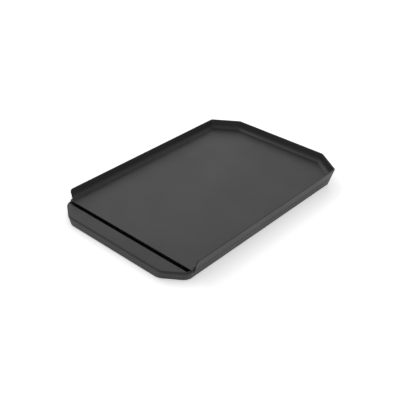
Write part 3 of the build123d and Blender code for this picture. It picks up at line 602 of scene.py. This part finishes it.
sheet_start, sheet_end = sheet_low.x + sheet_gauge, sheet_high.x - sheet_gauge
sheet_side = sheet_high.y - sheet_gauge
sheet_x = across(sheet_start, sheet_end)
sheet_v = across(-sheet_side, sheet_side) / sheet_side
fold_top = sheet_high.z - sheet_low.z - sheet_gauge
sheet_points, sheet_faces = [], []
for x in sheet_x:
    cut = max(0.0, sheet_corner - min(x - sheet_start, sheet_end - x))
    half = sheet_side - cut
    for v in sheet_v:
        y = v * half
        edge = min(x - sheet_start, sheet_end - x, half - abs(y))
        fold = fold_top * (1 - min(1.0, edge / fold_steps[4])) ** 2
        sheet_points.append((x, y, sheet_low.z + sheet_gauge + fold + bead_lift(x, y)))
rows, columns = len(sheet_x), len(sheet_v)
for row in range(rows - 1):
    for column in range(columns - 1):
        first = row * columns + column
        sheet_faces.append((first, first + columns, first + columns + 1, first + 1))
sheet_mesh = bpy.data.meshes.new("reflector_sheet")
sheet_mesh.from_pydata(sheet_points, [], sheet_faces)
sheet_piece = link_object("reflector_sheet", sheet_mesh)
gauge = sheet_piece.modifiers.new("gauge", "SOLIDIFY")
gauge.thickness = sheet_gauge
gauge.offset = -1.0
settle(sheet_piece, "heat_reflector_pressed", "base", bright, ["heat_reflector"])

# ---- Washers, rest pads, feet and tray stops ----
# Silicone takes the heat between the metal and the moulding, and rubber grips the table.
silicone = finish("silicone_grey", grey(0.26, 0.02), 0.62, cloud_scale=60.0, tone_spread=0.06,
                  grain_scale=1500.0, grain_depth=0.00003, edge_amount=0.2)
rubber = finish("rubber_black", grey(0.022), 0.72, cloud_scale=60.0, tone_spread=0.15,
                grain_scale=1000.0, grain_depth=0.00005, edge_color=grey(0.06), edge_amount=0.35)
washer_low, washer_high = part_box("reflector_washers")
washer_thick = washer_high.z - washer_low.z
washer_bore, washer_radius, washer_round, washer_bevel = 0.0015, 0.0045, 0.0002, 0.0001
washer_side = washer_radius - washer_round
washer = turned("washer_one", [(washer_bore, washer_bevel), (washer_bore + washer_bevel, 0.0)]
                + arc_points((washer_side, washer_round), washer_round, -90, 0, 2)
                + arc_points((washer_side, washer_thick - washer_round), washer_round, 0, 90, 2)
                + [(washer_bore + washer_bevel, washer_thick), (washer_bore, washer_thick - washer_bevel)])
set_out("reflector_washers_set", washer, seats("reflector_washers", washer_low.z), "base",
        silicone, "reflector_washers")

pad_low, pad_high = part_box("rest_pads")
pad_thick = pad_high.z - pad_low.z
pad_radius, pad_foot_round, pad_top_round, pad_groove = 0.0050, 0.0004, 0.0006, 0.0003
pad = turned("rest_pad_one", [(0.0, 0.0)]
             + arc_points((pad_radius - pad_foot_round, pad_foot_round), pad_foot_round, -90, 0, 3)
             + arc_points((pad_radius - pad_top_round, pad_thick - pad_top_round), pad_top_round, 0, 90, 4)
             + [(0.0030, pad_thick), (0.0027, pad_thick - pad_groove), (0.0015, pad_thick - pad_groove),
                (0.0012, pad_thick), (0.0, pad_thick)])
set_out("rest_pads_set", pad, seats("rest_pads", pad_low.z), "base", silicone, "rest_pads")

foot_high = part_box("rubber_feet")[1].z
foot_tread = [(0.0, 0.0007), (0.0040, 0.0007), (0.0044, 0.0003), (0.0050, 0.0), (0.0066, 0.0),
              (0.0068, 0.0003), (0.0072, 0.0003), (0.0074, 0.0), (0.0084, 0.0)]
foot_side = arc_points((0.0084, 0.0006), 0.0006, -70, 0, 3) + [(0.0092, 0.0017), (0.0090, 0.0020)]
foot_stem = [(0.0035, 0.0020), (0.0035, 0.0036), (0.0047, 0.0036), (0.0048, 0.0040),
             (0.0036, foot_high - 0.0003), (0.0032, foot_high), (0.0, foot_high)]
foot = turned("rubber_foot_one", foot_tread + foot_side + foot_stem, 40)
set_out("rubber_feet_set", foot, seats("rubber_feet", 0.0), "base", rubber, "rubber_feet",
        turn=0.0)
soften("tray_stops", "tray_stops_moulded", "base", rubber, 0.0006, 3)

# ---- Tray guides and runners ----
# Plated angle strips beside the trough's ends, and low acetal strips that it slides along.
soften("tray_guide_left", "tray_guide_left_folded", "base", zinc, 0.0002)
soften("tray_guide_right", "tray_guide_right_folded", "base", zinc, 0.0002)
acetal = finish("acetal", grey(0.62, 0.03), 0.34, cloud_scale=40.0, tone_spread=0.03, grain_scale=800.0,
                grain_depth=0.00001, edge_amount=0.1)
soften("tray_runners", "tray_runners_moulded", "base", acetal, 0.00025)

# ---- Drip tray ----
# A moulded front with a flat ledge, over a pressed and dark-anodised aluminium trough.
tray_paint = finish("tray_moulding", grey(0.012), 0.52, grain_scale=900.0, grain_depth=0.00003,
                    edge_color=grey(0.045), edge_amount=0.3)
soften("tray_front", "tray_front_moulded", "drip_tray", tray_paint, 0.0004)
anodised = finish("dark_anodised", grey(0.10), 0.38, tint=grey(0.13, 0.02), metal=0.85, cloud_scale=18.0,
                  tone_spread=0.08, gloss_spread=0.2, grain_scale=650.0, stretch=(1.0, 0.05, 1.0),
                  grain_depth=0.00001, edge_color=grey(0.30), edge_amount=0.4)
soften("trough", "trough_pressed", "drip_tray", anodised, 0.0002)
